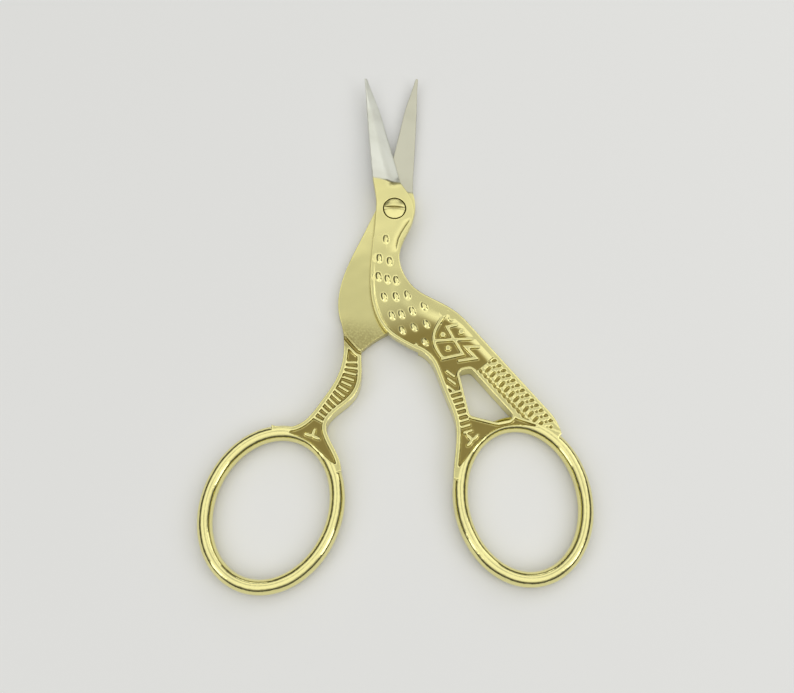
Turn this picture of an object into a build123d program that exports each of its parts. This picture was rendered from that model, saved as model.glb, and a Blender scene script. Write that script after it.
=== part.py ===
from build123d import *
import os
from math import atan2, cos, degrees, radians, sin

os.makedirs("parts", exist_ok=True)

# Stork embroidery scissors, in millimetres: two forged halves that turn on a slotted screw.
# Each half is drawn as it lies when the scissors are shut: pivot axis on Z, blade tip on +Y,
# finger rings towards -Y, resting face on Z = 0. The halves are opened at the end. Shut, the
# cutting edges have just passed each other and the finger rings all but touch.

# Lapped joint
plate_thickness = 1.6  # one half where the two lie on each other
lap_clearance = 0.04  # running gap between the two plates
step_clearance = 0.3  # gap beside a lapped plate when shut
rest_opening = 20.2  # degrees between the blades as the scissors lie
shut_opening = 1.4  # degrees
widest_opening = 140.0  # degrees, before the wing reaches the other blade

# Blades
blade_length = 26.2  # pivot to tip
blade_root = 6.6  # pivot to the end of the ground steel
front_spine_reach = 2.5  # axis to the spine at the root
back_spine_reach = 2.2
edge_reach = 2.0  # axis to the cutting edge at the root
ridge_reach = 0.4  # axis to the ridge between the flat and the bevel, on the spine's side
tip_radius = 0.25
tip_reach = 0.05  # the tip stands a little towards the cutting edge
tip_thickness = 0.7
edge_thickness = 0.35
bevel_runout = 2.4  # how far the bevel fades out below the root

# Stork's head, neck and body
head_radius = 3.3
body_length = 25.3  # pivot to the end of the belly
belly_depth = 6.9  # axis to the fullest point of the belly
belly_rim = 0.6  # raised rim along the belly
nape_band = 0.9  # smooth band along the back of the neck
field_start = 4.5  # pivot to where the feathered field starts to sink
field_depth = 0.5  # depth of the field at the end of the belly, and of the panels below it

# Feathers on the body
feather_length = 1.95
feather_width = 1.1
feather_rise = 0.3
feather_turn_top = -18.0  # degrees, at the height of the pivot
feather_turn_gain = 45.0  # degrees, over the length of the body

# Front leg, and the opening between it and the tail
front_leg_length = 13.8  # end of the belly to the crown of the finger ring
front_leg_bow = 2.2  # axis to the outer edge of the leg at the knee
opening_reach = 4.5  # axis to the opening
haunch_depth = 5.0  # end of the belly to the opening
web_width = 1.6  # opening to finger hole
opening_corner = 0.8
opening_rim = 0.45

# Back leg
back_leg_spare = 0.6  # how much longer the back leg is
back_leg_reach = 4.25  # axis to the outer edge of the leg below the shoulder
groove_width = 0.5  # groove across the shoulder
ridge_width = 0.45  # ridges on both sides of it
groove_depth = 0.4

# Rims, panels, rungs and leaves of the legs
rim_width = 0.7
rung_width = 0.42
rung_pitch = 0.88
rung_drop = 0.1  # how far rungs, leaves and the wing's beads stay below the rim
front_rung_length = 1.6
back_rung_length = 1.9
slant_rung_length = 1.8
leaf_length = 1.4
leaf_width = 0.55
leaf_growth = 1.85  # finger hole to the middle of the leaf
front_leaf_turn = 125.0  # degrees round the ring
back_leaf_turn = 79.0

# Wing and tail
tail_slope = 28.9  # degrees from the axis
tail_reach = 7.67  # axis to the tail's outer edge where it becomes straight
tail_length = 20.1
tail_width = 4.8  # outer edge to opening
tail_band_start = 7.4  # start of the tail's straight edge to its scaled band
scale_columns = 3
scale_first = 8.2  # start of the tail's straight edge to the first scale
scale_pitch = 1.12
scale_spacing = 1.38  # from column to column
scale_inset = 1.0  # outer edge to the first column
scale_length = 0.84
scale_sides = 6
scale_depth = 0.3
wing_bead = 0.5
wing_stud = 0.95

# Finger rings
ring_width = 2.45
ring_height = 3.1
front_hole_length = 22.4
front_hole_width = 17.1
front_ring_reach = 10.05  # axis to the centre of the ring
front_ring_lean = 1.0  # degrees
back_hole_length = 22.5
back_hole_width = 17.7
back_ring_reach = 11.35
back_ring_lean = 11.0  # degrees
hole_bead = 0.85  # raised bead round the finger hole beside the leg

# Screw
screw_diameter = 2.4
screw_head_diameter = 3.6
screw_head_rise = 0.4  # above the front half
screw_head_sink = 0.5  # depth of the counterbore
screw_dome = 0.15
slot_width = 0.6
slot_depth = 0.45
slot_turn = -4.0  # degrees
bore_clearance = 0.05  # radial, in the front half
thread_clearance = 0.02  # radial, in the back half
head_clearance = 0.15  # radial, the dark ring round the head

overrun = 1.0  # how far a cutting shape passes the surface
curve_steps = 16  # points that redraw a curve beside another

half_turn = 180  # degrees

# Sizes that follow from these
back_leg_length = front_leg_length + back_leg_spare
lap_height = plate_thickness + lap_clearance
handle_height = lap_height + plate_thickness
ring_level = handle_height / 2


# Finger rings: an ellipse round each hole, grown by an amount, at an angle from its short axis
front_ring = (
    front_ring_reach,
    -(body_length + front_leg_length + ring_width + front_hole_length / 2),
)
back_ring = (
    -back_ring_reach,
    -(body_length + back_leg_length + ring_width + back_hole_length / 2),
)


def on_ring(center, width, length, lean, growth, angle):
    across = (width / 2 + growth) * cos(radians(angle))
    along = (length / 2 + growth) * sin(radians(angle))
    turn = radians(lean)
    return (
        center[0] + across * cos(turn) + along * sin(turn),
        center[1] - across * sin(turn) + along * cos(turn),
    )


def on_front_ring(angle, growth):
    return on_ring(
        front_ring, front_hole_width, front_hole_length, front_ring_lean, growth, angle
    )


def on_back_ring(angle, growth):
    return on_ring(
        back_ring, back_hole_width, back_hole_length, back_ring_lean, growth, angle
    )


def hole_face(center, width, length, lean, growth):
    """Ellipse of a finger hole, grown all round."""
    with BuildSketch() as face:
        with Locations(Location((center[0], center[1], 0), (0, 0, -lean))):
            Ellipse(width / 2 + growth, length / 2 + growth)
    return face.sketch


def front_hole(growth):
    return hole_face(
        front_ring, front_hole_width, front_hole_length, front_ring_lean, growth
    )


def back_hole(growth):
    return hole_face(back_ring, back_hole_width, back_hole_length, back_ring_lean, growth)


def ring_tube(center, width, length, lean):
    """Finger ring: an oval bar swept round the hole, over its upper and its lower half."""
    with BuildPart() as tube:
        with BuildLine(Plane.XY.offset(ring_level)) as path:
            for start in (0, half_turn):
                EllipticalCenterArc(
                    center,
                    (width + ring_width) / 2,
                    (length + ring_width) / 2,
                    start_angle=start,
                    arc_size=half_turn,
                    rotation=-lean,
                )
        with BuildSketch(
            Plane(
                origin=path.line @ 0,
                x_dir=(-cos(radians(lean)), sin(radians(lean)), 0),
                z_dir=path.line % 0,
            )
        ):
            Ellipse(ring_width / 2, ring_height / 2)
        sweep()
    return tube.part


def redrawn(wire):
    """Closed outline drawn again, with a spline for each of its curves."""
    with BuildSketch() as face:
        with BuildLine():
            for edge in wire.edges():
                if edge.geom_type == GeomType.LINE:
                    Line(edge @ 0, edge @ 1)
                else:
                    Spline(
                        *[edge @ (step / curve_steps) for step in range(curve_steps + 1)],
                        tangents=[edge % 0, edge % 1],
                    )
        make_face()
    return face.sketch


def grown(shape, amount):
    """Shape with its outlines moved outwards, or inwards by a negative amount."""
    with BuildSketch() as result:
        for face in offset(shape, amount=amount, mode=Mode.PRIVATE).faces():
            add(redrawn(face.outer_wire()))
            for hole in face.inner_wires():
                add(redrawn(hole), mode=Mode.SUBTRACT)
    return result.sketch


# Head, neck and body, alike on both halves: shares of belly depth and body length
belly_shares = [
    (-0.60, -0.13),
    (-0.82, -0.335),
    (-1.00, -0.61),
    (-0.82, -0.835),
    (-0.446, -0.949),
]
belly_end_shares = (-0.217, -1.0)
hem_shares = [(-0.05, -0.947), (0.075, -0.913), (0.32, -0.858)]
nape_end_shares = (0.71, -0.743)
nape_shares = [
    (0.377, -0.668),
    (0.09, -0.592),
    (-0.086, -0.499),
    (-0.148, -0.402),
    (-0.097, -0.310),
    (0.054, -0.231),
    (0.33, -0.128),
]
front_inner_shares = (-0.55, -0.8)  # places well inside the body
back_inner_shares = (-0.2, -0.8)

# Round the head, up to the heel of the blade: shares of the head's radius
front_spine_heel_shares = [(-0.952, 0.09), (-0.833, 0.642), (-0.785, 1.21)]
front_edge_heel_shares = [(0.973, -0.297), (0.99, 0.1), (0.933, 0.458), (0.785, 0.894), (0.6, 1.34)]
back_edge_heel_shares = [(-0.952, 0.09), (-0.86, 0.45), (-0.76, 0.85), (-0.6, 1.34)]
back_spine_heel_shares = [(0.973, -0.297), (1.03, 0.1), (1.02, 0.458), (0.93, 0.85), (0.776, 1.27)]

# Blade: shares of its reach at the root, and of its length from the root
spine_shares = [(0.87, 0.157), (0.61, 0.447), (0.32, 0.742), (0.13, 0.921)]
edge_shares = [(0.90, 0.19), (0.73, 0.45), (0.60, 0.66), (0.30, 0.87)]


def on_body(shares):
    return (shares[0] * belly_depth, shares[1] * body_length)


def on_blade(reach, shares):
    return (shares[0] * reach, blade_root + shares[1] * (blade_length - blade_root))


def on_head(shares):
    return (shares[0] * head_radius, shares[1] * head_radius)


def body_face(tip, left_reach, left_shares, left_heel, right_reach, right_shares, right_heel):
    """Blade, head, neck and body as one face."""
    with BuildSketch() as face:
        with BuildLine():
            belly = Spline(
                *[on_head(shares) for shares in reversed(left_heel)],
                *[on_body(shares) for shares in belly_shares],
                on_body(belly_end_shares),
            )
            hem = Spline(
                belly @ 1,
                *[on_body(shares) for shares in hem_shares],
                on_body(nape_end_shares),
            )
            nape = Spline(
                hem @ 1,
                *[on_body(shares) for shares in nape_shares],
                *[on_head(shares) for shares in right_heel],
            )
            right_side = Spline(
                (right_reach, blade_root),
                *[on_blade(right_reach, shares) for shares in right_shares],
                (tip + tip_radius, blade_length - tip_radius),
            )
            left_side = Spline(
                (-left_reach, blade_root),
                *[on_blade(-left_reach, shares) for shares in left_shares],
                (tip - tip_radius, blade_length - tip_radius),
            )
            Line(nape @ 1, right_side @ 0)
            Line(belly @ 0, left_side @ 0)
            ThreePointArc(right_side @ 1, (tip, blade_length), left_side @ 1)
        make_face()
    return face.sketch


front_body = body_face(
    tip_reach,
    front_spine_reach,
    spine_shares,
    front_spine_heel_shares,
    edge_reach,
    edge_shares,
    front_edge_heel_shares,
)
back_body = body_face(
    -tip_reach,
    edge_reach,
    edge_shares,
    back_edge_heel_shares,
    back_spine_reach,
    spine_shares,
    back_spine_heel_shares,
)

# Tail: its outer edge is straight from the wing down to the corner above the ring
wing_top_shares = (0.985, -0.825)  # on the outer edge of the wing
tail_top_share = 0.881  # of the body length, down to where the tail's edge is straight
nape_end_run = (1, -0.9)  # direction of the nape where the wing starts
tail_run = (sin(radians(tail_slope)), -cos(radians(tail_slope)))


def on_tail(along, inward):
    """Point on the tail, along its straight outer edge and inward from it."""
    return (
        tail_reach + along * tail_run[0] + inward * tail_run[1],
        -tail_top_share * body_length + along * tail_run[1] - inward * tail_run[0],
    )


# Legs: shares of their reach, and of their length from the end of the belly
front_calf_shares = [(-0.105, 0.075), (0.23, 0.167), (0.51, 0.377), (0.75, 0.623), (1.0, 0.957)]
back_calf_shares = [(-1.08, -0.056), (-0.99, 0.18), (-1.12, 0.424), (-1.49, 0.677)]
back_shin_shares = [(-0.26, 0.174), (-0.17, 0.43), (-0.30, 0.565), (-0.72, 0.73), (-1.16, 0.94)]

# Where the legs and the tail run into the rings, in degrees round the ring, and how far out
crown_share = 0.62  # of the ring's width
panel_end_share = 0.9
front_calf_join = 158
front_tail_join = 42
back_calf_join = 115
back_shin_join = 42
ring_swells = {"front calf": (146, 1.18), "back calf": (90, 1.47), "back shin": (58, 1.2)}


def below_body(reach, length, shares):
    return (shares[0] * reach, -(body_length + shares[1] * length))


def swell(on_side, name):
    """Point just outside a ring, where a leg's edge swings into it."""
    angle, growth_share = ring_swells[name]
    return on_side(angle, growth_share * ring_width)


def crown_points(on_side, first, last, middle_growth, end_growth):
    """Points over a ring's crown, at one distance from the hole in the middle, another at the ends."""
    steps = 8
    points = []
    for step in range(steps + 1):
        swing = abs(2 * step / steps - 1) ** 4
        growth = middle_growth + (end_growth - middle_growth) * swing
        points.append(on_side(first + (last - first) * step / steps, growth))
    return points


def front_handle_face(crown_growth, crown_end):
    """Wing, tail and leg of the front half, down to the crown of its ring."""
    with BuildSketch() as face:
        with BuildLine():
            calf = Spline(
                on_body(belly_end_shares),
                *[
                    below_body(front_leg_bow, front_leg_length, shares)
                    for shares in front_calf_shares
                ],
                swell(on_front_ring, "front calf"),
                on_front_ring(front_calf_join, ring_width),
            )
            crown = Spline(
                *crown_points(
                    on_front_ring, front_calf_join, front_tail_join, crown_growth, crown_end
                )
            )
            Line(calf @ 1, crown @ 0)
            corner = TangentArc(
                on_tail(tail_length, 0),
                on_front_ring(front_tail_join, ring_width),
                tangent=tail_run,
            )
            Line(crown @ 1, corner @ 1)
            tail_edge = Line(corner @ 0, on_tail(0, 0))
            wing = Spline(
                on_body(nape_end_shares), tail_edge @ 1, tangents=[nape_end_run, tail_run]
            )
            Polyline(wing @ 0, on_body(front_inner_shares), calf @ 0)
        make_face()
    return face.sketch


def back_handle_face(crown_growth, crown_end):
    """Shoulder and leg of the back half, down to the crown of its ring."""
    with BuildSketch() as face:
        with BuildLine():
            calf = Spline(
                on_body(belly_shares[-2]),
                *[
                    below_body(back_leg_reach, back_leg_length, shares)
                    for shares in back_calf_shares
                ],
                swell(on_back_ring, "back calf"),
                on_back_ring(back_calf_join, ring_width),
            )
            crown = Spline(
                *crown_points(
                    on_back_ring, back_calf_join, back_shin_join, crown_growth, crown_end
                )
            )
            Line(calf @ 1, crown @ 0)
            shin = Spline(
                on_body(belly_end_shares),
                *[
                    below_body(back_leg_reach, back_leg_length, shares)
                    for shares in back_shin_shares
                ],
                swell(on_back_ring, "back shin"),
                on_back_ring(back_shin_join, ring_width),
            )
            Line(shin @ 1, crown @ 1)
            Polyline(calf @ 0, on_body(back_inner_shares), shin @ 0)
        make_face()
    return face.sketch


crown_growth = crown_share * ring_width
front_handle = front_handle_face(crown_growth, crown_growth)
back_handle = back_handle_face(crown_growth, crown_growth)

# Opening between the front leg, the tail and the ring
opening_top = -(body_length + haunch_depth)
opening_bottom = front_ring[1] + front_hole_length / 2 + web_width
opening_heel_shares = (0.04, 0.21)  # lower left corner: shares of reach and of height
opening_sole_share = 0.58  # of the width at the bottom, where the lower edge bends


def tail_side(height):
    """Point at a height on the line that bounds the tail towards the opening."""
    start = on_tail(0, tail_width)
    return (start[0] + (height - start[1]) * tail_run[0] / tail_run[1], height)


with BuildSketch() as opening:
    toe = tail_side(opening_bottom)
    with BuildLine():
        Polyline(
            (opening_reach, opening_top),
            tail_side(opening_top),
            toe,
            (opening_reach + opening_sole_share * (toe[0] - opening_reach), opening_bottom),
            (
                opening_reach * (1 + opening_heel_shares[0]),
                opening_bottom + opening_heel_shares[1] * (opening_top - opening_bottom),
            ),
            close=True,
        )
    make_face()
    fillet(opening.vertices(), opening_corner)

# Plan shapes of each half, and what of its handle stands beside the other half's plate
with BuildSketch() as front_plan:
    add(front_body)
    add(front_handle)
    add(opening.sketch, mode=Mode.SUBTRACT)
    add(front_hole(0), mode=Mode.SUBTRACT)

with BuildSketch() as front_step:
    add(front_handle)
    add(grown(back_body, step_clearance), mode=Mode.SUBTRACT)
    add(opening.sketch, mode=Mode.SUBTRACT)
    add(front_hole(0), mode=Mode.SUBTRACT)

with BuildSketch() as back_plan:
    add(back_body)
    add(back_handle)
    add(back_hole(0), mode=Mode.SUBTRACT)

with BuildSketch() as back_step:
    add(back_handle)
    add(grown(front_body, step_clearance), mode=Mode.SUBTRACT)
    add(back_hole(0), mode=Mode.SUBTRACT)

# Ground steel: what the grinding takes off the front blade, from above
taper_plane = Plane(
    origin=(0, blade_root, handle_height),
    x_dir=(1, 0, 0),
    z_dir=(0, plate_thickness - tip_thickness, blade_length - blade_root),
)


def plane_through(first, second, third):
    """Plane through three points, facing up."""
    along = Vector(*second) - Vector(*first)
    across = Vector(*third) - Vector(*first)
    normal = along.cross(across)
    if normal.Z < 0:
        normal = -normal
    return Plane(origin=first, x_dir=along, z_dir=normal)


bevel_plane = plane_through(
    (edge_reach, blade_root, lap_height + edge_thickness),
    (tip_reach + tip_radius, blade_length, lap_height + edge_thickness),
    (-ridge_reach, blade_root, handle_height),
)
runout_plane = plane_through(
    (edge_reach, blade_root - bevel_runout, handle_height),
    (-ridge_reach, blade_root - bevel_runout, handle_height),
    (edge_reach, blade_root, lap_height),
)


def blade_waste(*ground_planes):
    """Everything over the blade that lies above all of the ground planes."""
    with BuildPart() as waste:
        with BuildSketch(Plane.XY.offset(lap_height)):
            with Locations((0, blade_length)):
                Rectangle(2 * head_radius, 2 * blade_length)
        extrude(amount=2 * plate_thickness)
        for ground_plane in ground_planes:
            split(bisect_by=ground_plane, keep=Keep.TOP)
    return waste.part


grindings = [blade_waste(taper_plane), blade_waste(bevel_plane, runout_plane)]
turn_over = Axis((0, 0, ring_level), (0, 1, 0))  # turned about it, one blade's grinding fits the other


# Relief: fields and panels sunk between raised rims and beads, on the top or the underside
top_side = 1
under_side = -1


def on_side(side, height):
    """Height of a place on the top, or of its mirror image on the underside."""
    return ring_level + side * (height - ring_level)


def floor_height(along):
    """Height of the sunk floor over the body, by the distance from the pivot."""
    return handle_height - field_depth * (along - field_start) / (body_length - field_start)


def sunk(region, side):
    """What the relief takes off a side over a region; its floor slopes down the body."""
    with BuildPart() as waste:
        with BuildSketch(Plane.XY.offset(on_side(side, handle_height - field_depth))):
            add(region)
        extrude(amount=side * (field_depth + overrun))
        split(
            bisect_by=Plane(
                origin=(0, -field_start, on_side(side, handle_height)),
                x_dir=(1, 0, 0),
                z_dir=(0, -field_depth, side * (body_length - field_start)),
            ),
            keep=Keep.TOP,
        )
    return waste.part


def raised(region, side):
    """Beads and bars that stand on the sunk floor of a side."""
    with BuildPart() as bars:
        with BuildSketch(Plane.XY.offset(on_side(side, lap_height))):
            add(region)
        extrude(amount=side * (plate_thickness - rung_drop))
    return bars.part


def field_face(body):
    """Feathered field of the body: inside its rim and the smooth band along the nape."""
    with BuildSketch() as lower_body:
        add(body)
        with Locations((0, belly_rim - field_start - body_length)):
            Rectangle(2 * body_length, 2 * body_length, mode=Mode.INTERSECT)
    with BuildSketch() as face:
        add(grown(lower_body.sketch, -belly_rim))
        add(Pos(-nape_band, -nape_band) * body, mode=Mode.INTERSECT)
    return face.sketch


with BuildSketch() as tail_band:
    with BuildLine():
        Polyline(
            on_tail(tail_band_start, -overrun),
            on_tail(tail_band_start, tail_width + 2 * opening_rim),
            tail_side(opening_bottom),
            on_front_ring(front_tail_join, ring_width),
            on_tail(tail_length, -overrun),
            close=True,
        )
    make_face()

with BuildSketch() as front_panel:
    add(grown(front_handle_face(hole_bead - rim_width, panel_end_share * ring_width), -rim_width))
    add(grown(opening.sketch, opening_rim), mode=Mode.SUBTRACT)
    add(tail_band.sketch, mode=Mode.SUBTRACT)

back_panel = grown(
    back_handle_face(hole_bead - rim_width, panel_end_share * ring_width), -rim_width
)

# Feathers: shares of belly depth and body length, in rows from the neck down
feather_shares = [
    (-0.37, -0.21),
    (-0.62, -0.335),
    (-0.39, -0.37),
    (-0.73, -0.46),
    (-0.53, -0.49),
    (-0.33, -0.51),
    (-0.70, -0.606),
    (-0.42, -0.62),
    (-0.14, -0.623),
    (-0.61, -0.742),
    (-0.38, -0.746),
    (-0.11, -0.738),
    (0.19, -0.723),
    (-0.44, -0.854),
    (-0.15, -0.848),
    (0.155, -0.843),
    (0.033, -0.96),
]

with BuildPart() as feather:
    with BuildSketch():
        Ellipse(feather_width / 2, feather_length / 2)
        split(bisect_by=Plane.YZ)
    revolve(axis=Axis.Y)


def feather_places(side):
    """Where the feathers stand on a side: below, they end level with the face, and before the hem."""
    places = []
    for share, along_share in feather_shares if side == top_side else feather_shares[:-1]:
        crest = handle_height
        if side == top_side:
            crest = floor_height(-along_share * body_length) + feather_rise
        height = crest - feather_width / 2
        places.append(
            Location(
                (*on_body((share, along_share)), on_side(side, height)),
                (0, 0, feather_turn_top - feather_turn_gain * along_share),
            )
        )
    return places


# Scales of the tail: staggered pits, between the edge and the opening
toe_along = (opening_bottom + tail_top_share * body_length + tail_width * tail_run[0]) / tail_run[1]
with BuildSketch() as scales:
    for column in range(scale_columns):
        inward = scale_inset + column * scale_spacing
        first = scale_first + (column % 2) * scale_pitch / 2
        last = tail_length - (tail_length - toe_along) * inward / tail_width - scale_length
        rows = int((last - first) / scale_pitch) + 1
        for row in range(rows):
            place = on_tail(first + row * scale_pitch, inward)
            with Locations(Location((*place, 0), (0, 0, tail_slope))):
                RegularPolygon(scale_length / 2, scale_sides)

# Wing: a curved bead where it leaves the body, studs, zigzags and a cross bar
wing_bead_shares = [(0.70, -0.79), (0.435, -0.857), (0.249, -0.95), (0.27, -1.031), (0.36, -1.085)]
wing_stud_shares = [(0.77, -0.838), (0.926, -0.939), (0.484, -0.935), (0.533, -1.03)]
wing_zigzag_shares = [
    [(0.888, -0.886), (0.617, -0.889), (0.722, -0.985), (0.845, -1.09), (0.312, -1.094)],
    [(1.29, -1.064), (0.942, -1.045), (1.132, -1.134), (0.691, -1.129)],
    [(0.25, -0.966), (0.738, -0.983), (1.26, -1.005)],
]

with BuildSketch() as wing_beads:
    with BuildLine() as bead_lines:
        Spline(*[on_body(shares) for shares in wing_bead_shares])
        for zigzag_shares in wing_zigzag_shares:
            Polyline(*[on_body(shares) for shares in zigzag_shares])
    trace(line_width=wing_bead)
    with Locations(*[on_body(shares) for shares in wing_stud_shares]):
        Circle(wing_stud / 2)

# Rungs across the legs, along a line down the middle of the panel
front_rung_shares = [(1.44, 0.57), (1.755, 1.13)]
back_rung_shares = [(-0.635, 0.16), (-0.616, 0.347), (-0.824, 0.549), (-1.224, 0.729), (-1.576, 0.93)]
slant_rung_shares = [(1.43, 0.372), (1.38, 0.464), (1.22, 0.553)]
slant_rung_turn = -50  # degrees


def rung_places(path):
    """Evenly spaced places along a path, each with its X axis along the path."""
    count = int(path.length / rung_pitch)
    places = []
    for rung in range(count):
        share = (rung + 1 / 2) / count
        along = path % share
        places.append(Location(path @ share, (0, 0, degrees(atan2(along.Y, along.X)))))
    return places


def leaf_places(center, heading):
    """Three petals round a point: one along the heading and one to each side."""
    places = []
    for turn in (-90, 0, 90):
        angle = radians(heading + turn)
        place = (
            center[0] + leaf_length / 2 * cos(angle),
            center[1] + leaf_length / 2 * sin(angle),
        )
        places.append(Location((*place, 0), (0, 0, heading + turn)))
    return places


with BuildLine():
    front_rung_path = Line(
        *[below_body(front_leg_bow, front_leg_length, shares) for shares in front_rung_shares]
    )
    back_rung_path = Spline(
        *[below_body(back_leg_reach, back_leg_length, shares) for shares in back_rung_shares]
    )

with BuildSketch() as front_ornament:
    add(wing_beads.sketch)
    with Locations(*rung_places(front_rung_path)):
        Rectangle(rung_width, front_rung_length)
    for shares in slant_rung_shares:
        place = below_body(front_leg_bow, front_leg_length, shares)
        with Locations(Location((*place, 0), (0, 0, slant_rung_turn))):
            Rectangle(slant_rung_length, rung_width)
    with Locations(*leaf_places(on_front_ring(front_leaf_turn, leaf_growth), front_leaf_turn)):
        Ellipse(leaf_length / 2, leaf_width / 2)

with BuildSketch() as back_ornament:
    with Locations(*rung_places(back_rung_path)):
        Rectangle(rung_width, back_rung_length)
    with Locations(*leaf_places(on_back_ring(back_leaf_turn, leaf_growth), back_leaf_turn)):
        Ellipse(leaf_length / 2, leaf_width / 2)

# What of the relief lies on the underside of the front half, and on top of the back half
with BuildSketch() as front_under_panel:
    add(front_panel.sketch)
    add(grown(back_body, step_clearance + rim_width), mode=Mode.SUBTRACT)

with BuildSketch() as front_under_ornament:
    add(front_ornament.sketch)
    add(grown(back_body, step_clearance + rim_width + rung_drop), mode=Mode.SUBTRACT)

shoulder_rise = step_clearance + ridge_width

with BuildSketch() as shoulder_groove:
    add(back_step.sketch)
    add(grown(front_body, shoulder_rise + groove_width), mode=Mode.INTERSECT)
    add(grown(front_body, shoulder_rise), mode=Mode.SUBTRACT)

with BuildSketch() as back_top_panel:
    add(back_panel)
    add(grown(front_body, shoulder_rise + groove_width + ridge_width), mode=Mode.SUBTRACT)

# Front half: lies on top at the pivot, and carries the wing, the tail and the right ring
with BuildPart() as front_half:
    with BuildSketch():
        add(front_step.sketch)
    extrude(amount=lap_height)
    with BuildSketch(Plane.XY.offset(lap_height)):
        add(front_plan.sketch)
    extrude(amount=plate_thickness)
    add(ring_tube(front_ring, front_hole_width, front_hole_length, front_ring_lean))
    add(grindings, mode=Mode.SUBTRACT)
    add(sunk(front_panel.sketch + field_face(front_body), top_side), mode=Mode.SUBTRACT)
    add(sunk(front_under_panel.sketch, under_side), mode=Mode.SUBTRACT)
    add(raised(front_ornament.sketch, top_side))
    add(raised(front_under_ornament.sketch, under_side))
    with Locations(*feather_places(top_side)):
        add(feather.part)
    for level, depth in ((handle_height, -scale_depth), (0, scale_depth)):
        with BuildSketch(Plane.XY.offset(level)):
            add(scales.sketch)
        extrude(amount=depth, mode=Mode.SUBTRACT)
    with Locations(Plane.XY.offset(handle_height)):
        CounterBoreHole(
            radius=screw_diameter / 2 + bore_clearance,
            counter_bore_radius=screw_head_diameter / 2 + head_clearance,
            counter_bore_depth=screw_head_sink,
            depth=plate_thickness,
        )
front_half.part.label = "front_half"

# Back half: lies underneath at the pivot, and carries the shoulder and the left ring
with BuildPart() as back_half:
    with BuildSketch():
        add(back_plan.sketch)
    extrude(amount=plate_thickness)
    with BuildSketch(Plane.XY.offset(plate_thickness)):
        add(back_step.sketch)
    extrude(amount=handle_height - plate_thickness)
    add(ring_tube(back_ring, back_hole_width, back_hole_length, back_ring_lean))
    add([grinding.rotate(turn_over, half_turn) for grinding in grindings], mode=Mode.SUBTRACT)
    add(sunk(back_top_panel.sketch, top_side), mode=Mode.SUBTRACT)
    add(sunk(back_panel + field_face(back_body), under_side), mode=Mode.SUBTRACT)
    with BuildSketch(Plane.XY.offset(handle_height)):
        add(shoulder_groove.sketch)
    extrude(amount=-groove_depth, mode=Mode.SUBTRACT)
    add(raised(back_ornament.sketch, top_side))
    add(raised(back_ornament.sketch, under_side))
    with Locations(*feather_places(under_side)):
        add(feather.part)
    with Locations((0, 0, plate_thickness)):
        Hole(radius=screw_diameter / 2 + thread_clearance, depth=plate_thickness)
back_half.part.label = "back_half"

# Screw: a low domed head with a slot, sunk into the front half
head_base = handle_height - screw_head_sink + lap_clearance
head_top = handle_height + screw_head_rise
with BuildPart() as pivot_screw:
    with BuildSketch(Plane.XZ):
        with BuildLine():
            crown = ThreePointArc(
                (-screw_head_diameter / 2, head_top - screw_dome),
                (0, head_top),
                (screw_head_diameter / 2, head_top - screw_dome),
            )
            Polyline(
                crown @ 1,
                (screw_head_diameter / 2, head_base),
                (screw_diameter / 2, head_base),
                (screw_diameter / 2, 0),
                (-screw_diameter / 2, 0),
                (-screw_diameter / 2, head_base),
                (-screw_head_diameter / 2, head_base),
                crown @ 0,
            )
        make_face()
        split(bisect_by=Plane.YZ)
    revolve(axis=Axis.Z)
    with BuildSketch(Plane.XY.offset(head_top - slot_depth)):
        with Locations(Location((0, 0, 0), (0, 0, slot_turn))):
            Rectangle(2 * screw_head_diameter, slot_width)
    extrude(amount=slot_depth + overrun, mode=Mode.SUBTRACT)
pivot_screw.part.label = "pivot_screw"

# The scissors as they lie: each half turned from the middle by half the opening
pivot = RevoluteJoint(
    "pivot",
    to_part=back_half.part,
    axis=Axis.Z,
    angular_range=(shut_opening, widest_opening),
)
bore = RigidJoint("bore", to_part=front_half.part)
back_half.part.location = Location((0, 0, 0), (0, 0, -rest_opening / 2))
pivot.connect_to(bore, angle=rest_opening)

for piece in (front_half, back_half, pivot_screw):
    export_step(piece.part, f"parts/{piece.part.label}.step")
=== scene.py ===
import math

import bmesh
import bpy
from mathutils import Matrix, Vector


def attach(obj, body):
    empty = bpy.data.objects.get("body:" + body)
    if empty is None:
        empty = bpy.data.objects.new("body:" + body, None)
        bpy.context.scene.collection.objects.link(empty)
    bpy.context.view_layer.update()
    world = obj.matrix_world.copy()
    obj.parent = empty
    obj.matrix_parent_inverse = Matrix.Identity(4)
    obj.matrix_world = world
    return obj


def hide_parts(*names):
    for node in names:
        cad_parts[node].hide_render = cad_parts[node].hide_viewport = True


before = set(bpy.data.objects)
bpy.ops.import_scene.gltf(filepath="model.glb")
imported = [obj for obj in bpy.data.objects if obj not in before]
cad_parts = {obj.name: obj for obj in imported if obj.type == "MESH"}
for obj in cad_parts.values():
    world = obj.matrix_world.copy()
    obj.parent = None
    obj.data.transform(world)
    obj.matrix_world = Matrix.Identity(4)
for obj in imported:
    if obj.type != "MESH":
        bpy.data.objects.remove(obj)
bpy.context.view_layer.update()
MM = 0.001

bl_info = {
    "name": "Stork embroidery scissors",
    "version": (1, 0, 0),
    "blender": (4, 5, 0),
    "location": "3D View > Sidebar > Scissors",
    "description": "Cast and gilded halves, ground blades and slotted screw of stork scissors",
    "category": "Object",
}

# Finger rings as they lie at rest, in millimetres: centre, half axes of the hole, lean of the long axis
FRONT_RING = {"center": (19.16, -50.16), "hole": (8.55, 11.2), "lean": -9.1}
BACK_RING = {"center": (-20.54, -50.58), "hole": (8.85, 11.25), "lean": 21.1}
BAR_SPARE = 0.02  # how far the smooth bar stands proud of the ring
BAR_END = 3.5  # how far above the ring's centre the smooth bar stops
QUARTER_HANDLE = 0.5522847  # handle that bends a run of radius 1 to a quarter circle
WELD = 0.002 * MM  # points closer than this are joined

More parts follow.
